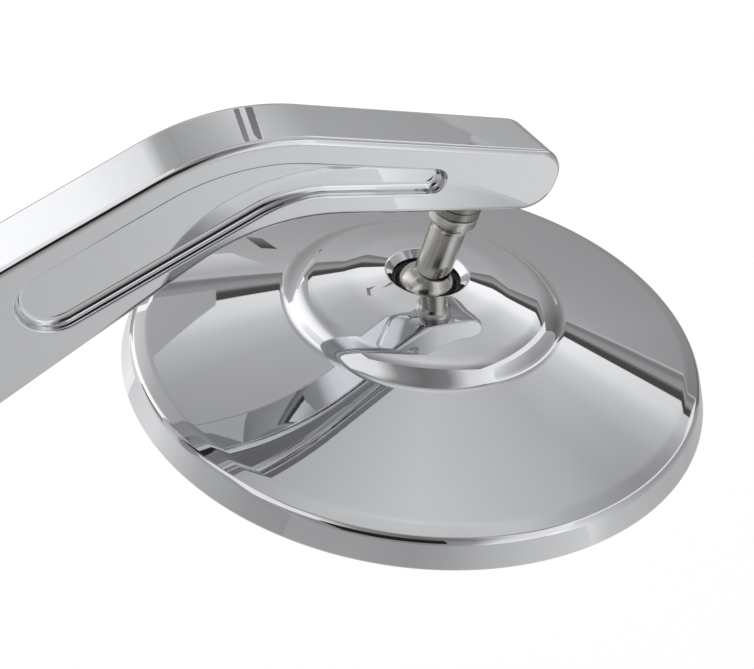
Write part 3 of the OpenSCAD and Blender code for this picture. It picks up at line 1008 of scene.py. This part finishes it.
@dataclass
class InnerWorks:
    """CAD pieces that stay as they are, inside the head, each with its own finish."""

    finishes: dict[str, Finish] = field(default_factory=lambda: {
        "seat_ring": LINER_NYLON, "pressure_cup": LINER_NYLON,
        "disc_spring": SPRING_STEEL, "clamp_plate": CLAMP_STEEL,
        "clamp_screw": SCREW_STEEL, "backing_plate": PLATE_PLASTIC,
        "backing_screw": SCREW_STEEL, "glass_pad": PAD_FOAM,
    })

    def dress(self) -> None:
        """Give every node whose name starts with a listed word that finish."""
        for name, node in frame["nodes"].items():
            for start, finish in self.finishes.items():
                if name.startswith(start):
                    node.data.materials.clear()
                    node.data.materials.append(finish.make())
                    LOG.info("dressed %s", name)


@dataclass
class View:
    """The photographer's camera, from a perspective fit to the head's ellipses."""

    at: Place = (-26.917, 141.894, 161.448)
    aim: Place = (77.962, 1.409, 14.564)
    up: Place = (0.06939, 0.74522, -0.6632)
    lens_mm: float = 62.07
    sensor_mm: float = 36.0
    nearest: float = 0.01
    furthest: float = 20.0

    def build(self) -> Object:
        """Make the camera and set it as the scene's."""
        data = bpy.data.cameras.new("camera")
        data.lens = self.lens_mm
        data.sensor_width = self.sensor_mm
        data.sensor_fit = "HORIZONTAL"
        data.clip_start = self.nearest
        data.clip_end = self.furthest
        camera = add_object("camera", data)
        back = (Vector(self.at) - Vector(self.aim)).normalized()
        right = Vector(self.up).cross(back).normalized()
        up = back.cross(right)
        turn = Matrix((right, up, back)).transposed().to_4x4()
        camera.matrix_world = Matrix.Translation(Vector(self.at) * MM) @ turn
        bpy.context.scene.camera = camera
        return camera


def flat_sheet(name: str, half: float, height: float, material: Material) -> Object:
    """Add a square sheet, level and centred on the upright axis."""
    data = bpy.data.meshes.new(name)
    corners = [(-half, -half, height), (half, -half, height), (half, half, height), (-half, half, height)]
    data.from_pydata(corners, [], [(0, 1, 2, 3)])
    data.materials.append(material)
    return add_object(name, data)


@dataclass(frozen=True)
class Card:
    """A panel of the photographer's tent, placed in the camera's axes: right, up and towards the camera."""

    name: str
    middle: Place
    across: Place
    along: Place
    levels: Stops
    sway: Stops = ((0.0, 1.0), (1.0, 1.0))

    def build(self, axes: Matrix) -> Object:
        """Hang the card where only reflections find it.

        Args:
            axes: the camera's axes, set on the ball.

        Returns:
            The card.
        """
        card = flat_sheet("card_" + self.name, 1.0, 0.0, self.cloth())
        across, along, middle = Vector(self.across), Vector(self.along), Vector(self.middle)
        frame_of_card = Matrix((across, along, across.cross(along).normalized())).transposed().to_4x4()
        card.matrix_world = axes @ Matrix.Translation(middle) @ frame_of_card
        card.visible_camera = False
        card.visible_diffuse = False
        card.visible_shadow = False
        return card

    def cloth(self) -> Material:
        """Lit cloth: its level runs along the card and sways across it."""
        material = bpy.data.materials.new(f"card_{self.name}_cloth")
        material.use_nodes = True
        tree = material.node_tree
        place = add_node(tree, "ShaderNodeTexCoord").outputs["Generated"]
        split = add_node(tree, "ShaderNodeSeparateXYZ", links={"Vector": place})
        glow = add_node(tree, "ShaderNodeEmission", links={
            "Color": ramp(tree, split.outputs["Y"], self.levels),
            "Strength": ramp(tree, split.outputs["X"], self.sway)})
        tree.links.new(glow.outputs[0], tree.nodes["Material Output"].inputs["Surface"])
        return material


# The overhead box ends just behind the mirror, in a dark hem; grey cloth hangs from there down to the
# paper, two stands and a clamp show dark against it, and the camera is the black card in front
HEM: Stops = ((0.0, 0.58), (0.06, 0.5), (0.12, 0.24), (0.25, 0.24), (0.4, 0.34), (0.56, 0.36),
              (0.64, 0.2), (0.72, 0.08), (0.96, 0.07), (1.0, 0.95))
TENT: tuple[Card, ...] = (
    Card("overhead", (0.17, 0.5, 0.2175), (0.43, 0, 0), (0, 0, 0.3825),
         ((0.0, 1.1), (0.06, 1.05), (0.12, 0.8), (0.22, 0.6), (0.35, 0.5), (0.5, 0.55), (0.68, 0.64),
          (0.85, 0.42), (1.0, 0.36)),
         ((0.0, 0.72), (0.24, 1.0), (0.43, 1.2), (0.7, 1.05), (0.8, 0.85), (1.0, 0.62))),
    Card("overhead_rear", (0.055, 0.499, -0.1), (0.06, 0, 0), (0, 0, 0.065), ((0.0, 0.5), (1.0, 0.7))),
    Card("hem_left", (-0.12, 0.5, -0.207), (0.14, 0, 0), (0, 0, 0.042), HEM),
    Card("hem_middle", (0.115, 0.5, -0.207), (0.095, 0, 0), (0, 0, 0.042), ((0.0, 0.42), (1.0, 0.5))),
    Card("hem_right", (0.405, 0.5, -0.207), (0.195, 0, 0), (0, 0, 0.042), HEM),
    Card("stand_left", (-0.046, 0.497, -0.042), (0.006, 0, 0.001), (-0.004, 0, 0.021),
         ((0.0, 0.22), (1.0, 0.3))),
    Card("stand_right", (-0.015, 0.497, -0.064), (0.008, 0, 0.001), (-0.0045, 0, 0.022),
         ((0.0, 0.2), (1.0, 0.26))),
    Card("behind", (0.1, 0.3525, -0.3965), (0.7, 0, 0), (0, -0.1475, -0.1475),
         ((0.0, 0.48), (0.12, 0.44), (0.4, 0.37), (0.7, 0.3), (1.0, 0.3)),
         ((0.0, 1.2), (0.3, 1.1), (0.5, 1.15), (0.7, 0.95), (0.85, 0.55), (1.0, 0.45))),
    Card("clamp", (-0.126, 0.395, -0.293), (0.0045, 0.002, 0), (-0.0025, -0.009, -0.009),
         ((0.0, 0.05), (1.0, 0.2))),
    Card("left_rear", (-0.27, 0.46, -0.245), (0.12, 0, 0), (-0.01, -0.014, -0.014),
         ((0.0, 0.5), (1.0, 0.75))),
    Card("behind_low", (0.1, -0.19, -0.6), (0.8, 0, 0), (0, -0.41, 0),
         ((0.0, 0.67), (1.0, 0.7)), ((0.0, 1.5), (0.5, 0.84), (1.0, 0.7))),
    Card("left_above", (-0.3724, 0.498, 0.05), (0.15, 0, 0), (-0.033, 0, 0.26),
         ((0.0, 1.05), (0.4, 1.0), (1.0, 0.9)),
         ((0.0, 1.3), (0.3, 1.2), (0.5, 0.95), (0.6, 0.75), (0.7, 0.5), (0.8, 0.45), (1.0, 0.42))),
    Card("far_left_above", (-0.72, 0.5, 0.195), (0.2, 0, 0), (0, 0, 0.405),
         ((0.0, 1.35), (0.5, 1.3), (1.0, 0.8))),
    Card("left", (-0.6, -0.05, 0.1), (0, 0, 0.5), (0, 0.55, 0),
         ((0.0, 0.64), (0.25, 0.51), (0.5, 0.6), (0.8, 0.58), (0.92, 1.1), (1.0, 1.3)),
         ((0.0, 1.3), (0.25, 1.47), (0.5, 0.91), (1.0, 0.58))),
    Card("below", (0.09, -0.5, 0.0), (0, 0, 0.6), (0.71, 0, 0),
         ((0.0, 0.55), (0.27, 0.55), (0.45, 0.49), (0.54, 0.54), (0.63, 0.64), (0.77, 0.72), (1.0, 0.76)),
         ((0.0, 1.1), (0.5, 1.15), (1.0, 0.72))),
    Card("right", (0.8, 0.0, 0.05), (0, 0, 0.65), (0, 0.5, 0),
         ((0.0, 0.94), (0.25, 0.67), (0.5, 0.57), (0.75, 0.46), (1.0, 0.59)),
         ((0.0, 0.81), (0.5, 0.78), (0.75, 1.18), (1.0, 1.87))),
    Card("camera", (-0.03, -0.07, 0.59), (0.19, 0, 0), (0, 0.17, 0), ((0.0, 0.01), (1.0, 0.03))),
    Card("camera_side", (0.1, -0.23, 0.6), (0.7, 0, 0), (0, 0.27, 0),
         ((0.0, 0.4), (1.0, 0.35)),
         ((0.0, 1.2), (0.25, 0.8), (0.5, 0.7), (0.62, 1.0), (0.7, 2.4), (1.0, 2.7))),
    Card("above_camera", (0.1, 0.27, 0.6), (0.7, 0, 0), (0, 0.23, 0), ((0.0, 0.95), (1.0, 0.9)),
         ((0.0, 1.1), (0.28, 1.0), (0.38, 0.32), (0.5, 0.2), (0.62, 0.28), (0.74, 0.9), (1.0, 1.15))),
)


@dataclass(frozen=True)
class SoftLamp:
    """A soft square lamp that looks at the ball and is kept out of reflections."""

    at: Place
    size: float
    watts: float

    def build(self, axes: Matrix) -> None:
        """Hang the lamp in the camera's axes, set on the ball."""
        data = bpy.data.lights.new("soft_lamp", "AREA")
        data.size = self.size
        data.energy = self.watts
        lamp = add_object("soft_lamp", data)
        place = axes @ Vector(self.at)
        turn = (place - axes.translation).to_track_quat("Z", "Y").to_matrix().to_4x4()
        lamp.matrix_world = Matrix.Translation(place) @ turn
        lamp.visible_glossy = False
        lamp.visible_camera = False


LAMPS = (SoftLamp((0.2, 0.7, 0.3), 0.6, 3.0), SoftLamp((-0.7, 0.3, 0.4), 0.5, 1.2))


@dataclass
class Studio:
    """Pale floor, white paper all round and soft light, with the tent's cards for the chrome."""

    floor_z: float = -0.8
    floor_half: float = 6.0
    paper: str = "#F4F4F4"
    paper_glow: float = 0.3
    room_light: float = 0.75

    def seen(self, tree: Tree) -> Socket:
        """One where a ray comes from the camera, a mirror or glass, and nought where it is light."""
        path = add_node(tree, "ShaderNodeLightPath")
        one = path.outputs["Is Camera Ray"]
        for kind in ("Is Glossy Ray", "Is Transmission Ray"):
            one = add_node(tree, "ShaderNodeMath", {"operation": "MAXIMUM"},
                           {0: one, 1: path.outputs[kind]}).outputs[0]
        return one

    def floor(self) -> None:
        """A pale floor that keeps the shadow and comes out white in the open."""
        material = bpy.data.materials.new("floor_paper")
        material.use_nodes = True
        tree = material.node_tree
        sheet = tree.nodes["Principled BSDF"]
        feed(tree, sheet, {"Base Color": linear(self.paper), "Roughness": 0.9})
        lift = add_node(tree, "ShaderNodeMath", {"operation": "MULTIPLY"},
                        {0: self.seen(tree), 1: self.paper_glow})
        glow = add_node(tree, "ShaderNodeEmission", links={"Strength": lift.outputs[0]})
        both = add_node(tree, "ShaderNodeAddShader", links={0: sheet.outputs[0], 1: glow.outputs[0]})
        tree.links.new(both.outputs[0], tree.nodes["Material Output"].inputs["Surface"])
        floor = flat_sheet("floor", self.floor_half, self.floor_z, material)

    def world(self) -> None:
        """White paper to the camera and to mirrors, an even soft light to everything else."""
        world = bpy.data.worlds.new("studio")
        bpy.context.scene.world = world
        world.use_nodes = True
        tree = world.node_tree
        light = tree.nodes["Background"]
        feed(tree, light, {"Color": (1, 1, 1, 1), "Strength": self.room_light})
        white = add_node(tree, "ShaderNodeBackground", links={"Color": (1, 1, 1, 1), "Strength": 1.0})
        mix = add_node(tree, "ShaderNodeMixShader", links={
            0: self.seen(tree), 1: light.outputs[0], 2: white.outputs[0]})
        tree.links.new(mix.outputs[0], tree.nodes["World Output"].inputs["Surface"])

    def build(self, camera: Object) -> None:
        """Set up paper, light and cards round the ball, in the camera's axes."""
        axes = Matrix.Translation(Datum().ball() * MM) @ camera.matrix_world.to_3x3().to_4x4()
        self.floor()
        self.world()
        for lamp in LAMPS:
            lamp.build(axes)
        for card in TENT:
            LOG.info("hung %s", card.build(axes).name)
        bpy.context.scene.view_settings.view_transform = "Standard"


def main() -> None:
    """Build the mirror piece by piece, then the studio."""
    logging.basicConfig(level=logging.INFO, format="%(name)s: %(message)s")
    camera = View().build()
    LOG.info("built %s", ArmBar().build().name)
    BallStud().build()
    HandlebarStud().build()
    Head().build()
    InnerWorks().dress()
    Studio().build(camera)


if __name__ == "__main__":
    main()
